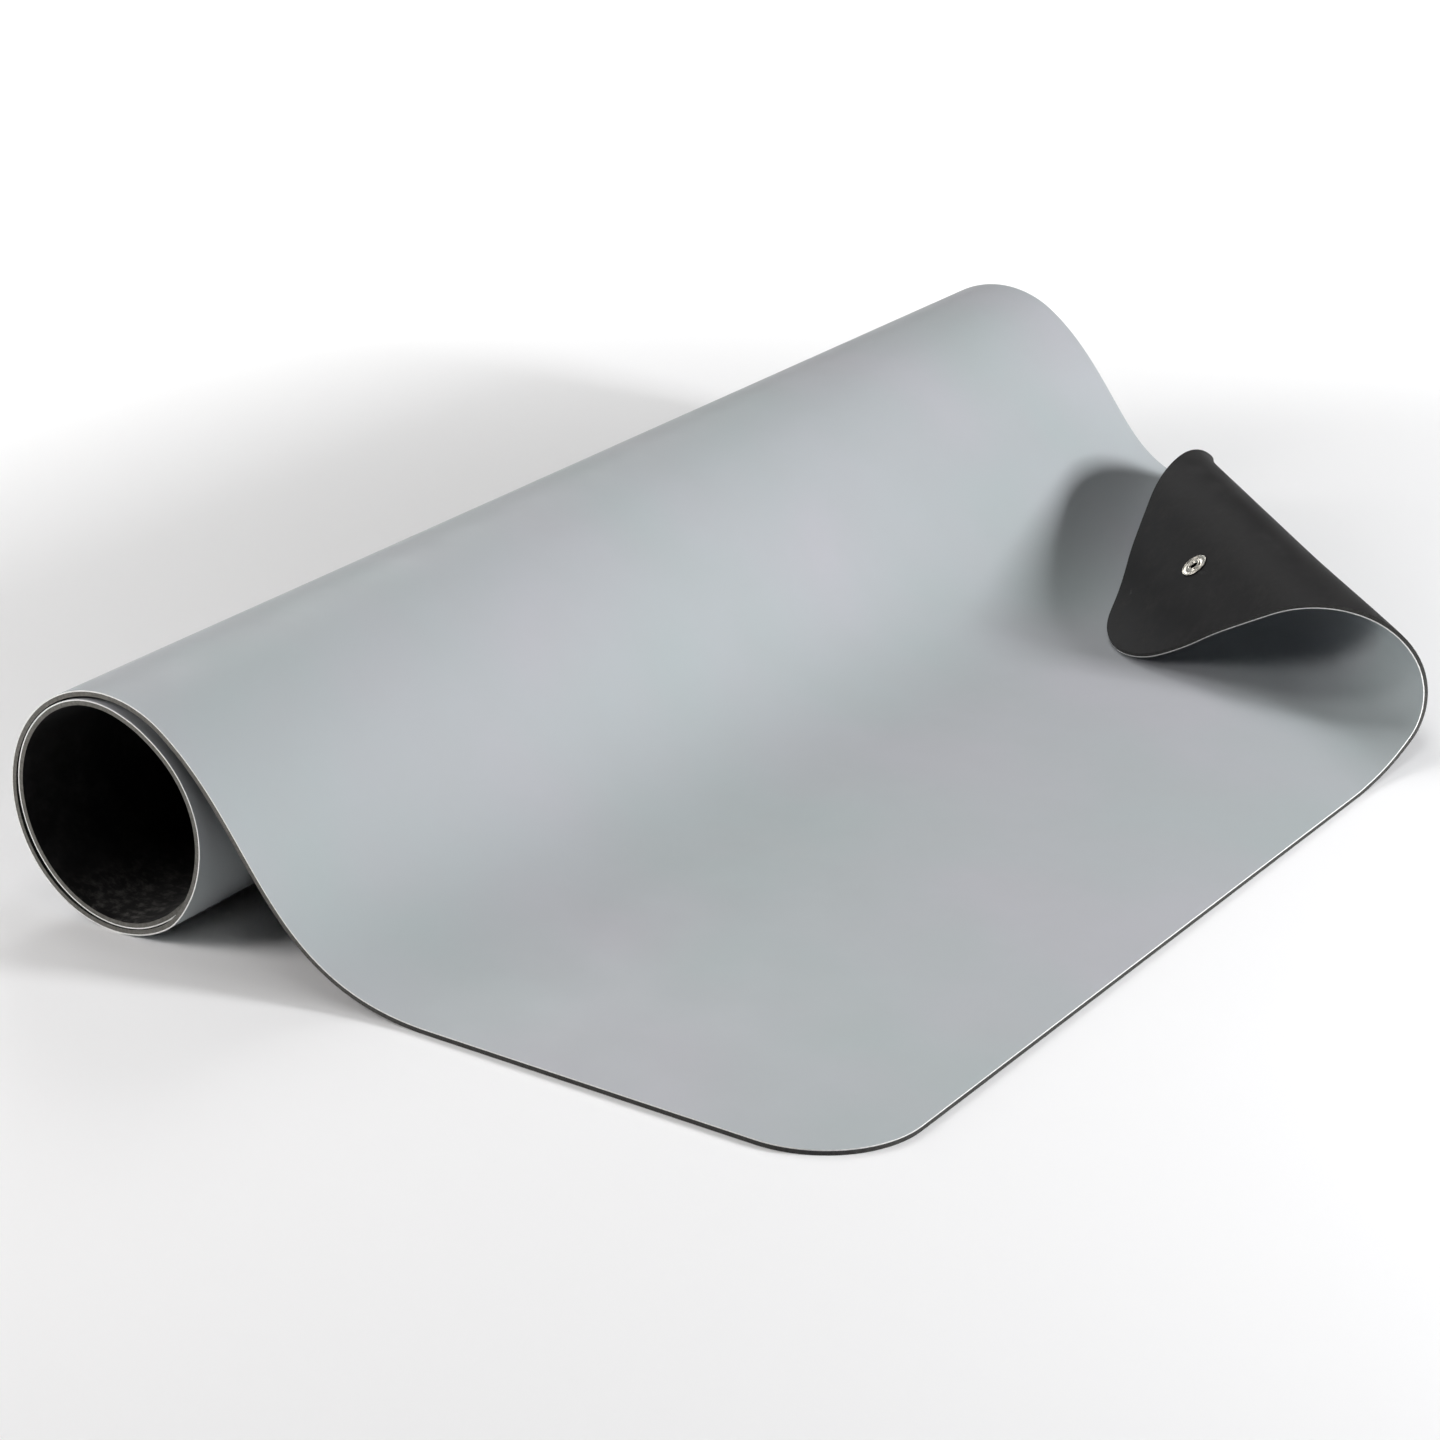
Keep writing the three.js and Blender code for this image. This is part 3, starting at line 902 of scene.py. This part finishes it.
def floor_paint():
    material, tree, shader = new_material("pale floor")
    tone = spread(tree, noise(tree, object_place(tree), 1.2, detail=2.0))
    tree.links.new(mixed(tree, tone, FLOOR_PALE, FLOOR_PALER), shader.inputs["Base Color"])
    shader.inputs["Roughness"].default_value = 0.9
    return material


# The mat

grey = grey_rubber()
black = black_rubber()
plated = nickel()

guides = {
    "roll line": side_view_curve("roll line", roll_line()),
    "fold line": side_view_curve("fold line", fold_line()),
    "stud hole": stud_drill(),
}
sheet = flat_sheet()
bends = bent_layer_tree()
top_layer = rubber_layer("grey_top_layer", bends, sheet, guides, 0.0, TOP_LAYER, grey)
base_layer = rubber_layer("black_base_layer", bends, sheet, guides, TOP_LAYER, BASE_LAYER, black)
for guide in guides.values():
    bpy.data.objects.remove(guide)
stud = turned_piece("nickel_press_stud", stud_outline(), plated)
eyelet = turned_piece("nickel_eyelet", eyelet_outline(), plated)

for piece, node, slot in (
    (top_layer, "dissipative_top_layer", "grey_rubber"),
    (base_layer, "conductive_base_layer", "black_rubber"),
    (stud, "press_stud", "nickel"),
    (eyelet, "stud_eyelet", "nickel"),
):
    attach(piece, "root")
    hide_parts(node)


# Floor, lights and camera

FLOOR_SIZE = 12.0
SURROUND_BRIGHTNESS = 0.02
MAT_MIDDLE = (0.0, 0.0, 0.03)
FLAT_MIDDLE = (0.05, -0.1, 0.0)
ROLL_FRONT = (-0.1, -0.2, 0.03)
WHITE = (1.0, 1.0, 1.0)
WIDE = 180
SOFTBOXES = [
    # name, place, aim, size in metres, watts, colour, spread in degrees
    ("right lamp", (1.051, 0.281, 0.392), (0.05, 0.0, 0.03), 0.24, 15.2, (0.99, 0.995, 1.01), WIDE),
    ("rear softbox", (-0.927, 0.927, 0.948), MAT_MIDDLE, 0.60, 6.3, WHITE, WIDE),
    ("left softbox", (-1.311, 0.0, 0.948), MAT_MIDDLE, 0.60, 2.2, WHITE, WIDE),
    ("overhead softbox", (0.0, 0.0, 1.6), FLAT_MIDDLE, 0.60, 2.8, WHITE, WIDE),
    ("front fill", (0.35, -0.6, 0.9), FLAT_MIDDLE, 0.60, 1.4, WHITE, WIDE),
    ("front left lamp", (-0.533, -0.818, 0.520), ROLL_FRONT, 0.40, 2.8, (1.02, 0.99, 0.99), WIDE),
    ("low left softbox", (-1.107, -1.107, 0.363), MAT_MIDDLE, 0.60, 8.6, (1.0, 0.995, 0.98), WIDE),
    ("rear backdrop light", (-0.9, 1.8, 1.3), (-0.9, 1.8, 0.0), 1.8, 44.0, WHITE, 70),
    ("left backdrop light", (-1.6, 0.3, 1.2), (-1.6, 0.3, 0.0), 1.3, 26.0, WHITE, 66),
]

# The photograph's viewpoint, found by fitting it to the mat's edges; angles in degrees
CAMERA_PLACE = (0.69397, -1.20360, 0.57828)
CAMERA_AZIMUTH = 32.6763
CAMERA_ELEVATION = 22.4222
CAMERA_ROLL = 1.4002
CAMERA_LENS = 99.31
CAMERA_SENSOR = 36.0
CAMERA_NEAR, CAMERA_FAR = 0.05, 30.0


def softbox(name, place, aim, size, power, colour, spread_angle):
    """A square light at a place, turned to its aim."""
    data = bpy.data.lights.new(name, "AREA")
    data.shape = "SQUARE"
    data.size = size
    data.energy = power
    data.color = colour
    data.spread = math.radians(spread_angle)
    light = bpy.data.objects.new(name, data)
    light.location = place
    light.rotation_mode = "QUATERNION"
    light.rotation_quaternion = (Vector(aim) - Vector(place)).to_track_quat("-Z", "Y")
    bpy.context.scene.collection.objects.link(light)


def studio():
    """A pale floor that runs out of the picture, with soft lights all round."""
    signs = ((-1, -1), (1, -1), (1, 1), (-1, 1))
    corners = [(x * FLOOR_SIZE / 2, y * FLOOR_SIZE / 2, 0.0) for x, y in signs]
    data = bpy.data.meshes.new("floor")
    data.from_pydata(corners, [], [(0, 1, 2, 3)])
    data.materials.append(floor_paint())
    floor = bpy.data.objects.new("floor", data)
    bpy.context.scene.collection.objects.link(floor)

    bpy.context.scene.view_settings.view_transform = "Standard"
    for box in SOFTBOXES:
        softbox(*box)

    world = bpy.data.worlds.new("soft surround")
    world.use_nodes = True
    surround = world.node_tree.nodes["Background"]
    surround.inputs["Color"].default_value = (*WHITE, 1.0)
    surround.inputs["Strength"].default_value = SURROUND_BRIGHTNESS
    bpy.context.scene.world = world


def camera():
    """A long lens at the photograph's viewpoint."""
    azimuth = math.radians(CAMERA_AZIMUTH)
    elevation = math.radians(CAMERA_ELEVATION)
    back = Vector((
        math.sin(azimuth) * math.cos(elevation),
        -math.cos(azimuth) * math.cos(elevation),
        math.sin(elevation),
    ))
    roll = Quaternion((0, 0, 1), math.radians(CAMERA_ROLL))
    data = bpy.data.cameras.new("camera")
    data.lens = CAMERA_LENS
    data.sensor_width = CAMERA_SENSOR
    data.clip_start, data.clip_end = CAMERA_NEAR, CAMERA_FAR
    view = bpy.data.objects.new("camera", data)
    view.location = CAMERA_PLACE
    view.rotation_mode = "QUATERNION"
    view.rotation_quaternion = (-back).to_track_quat("-Z", "Y") @ roll
    bpy.context.scene.collection.objects.link(view)
    bpy.context.scene.camera = view


studio()
camera()
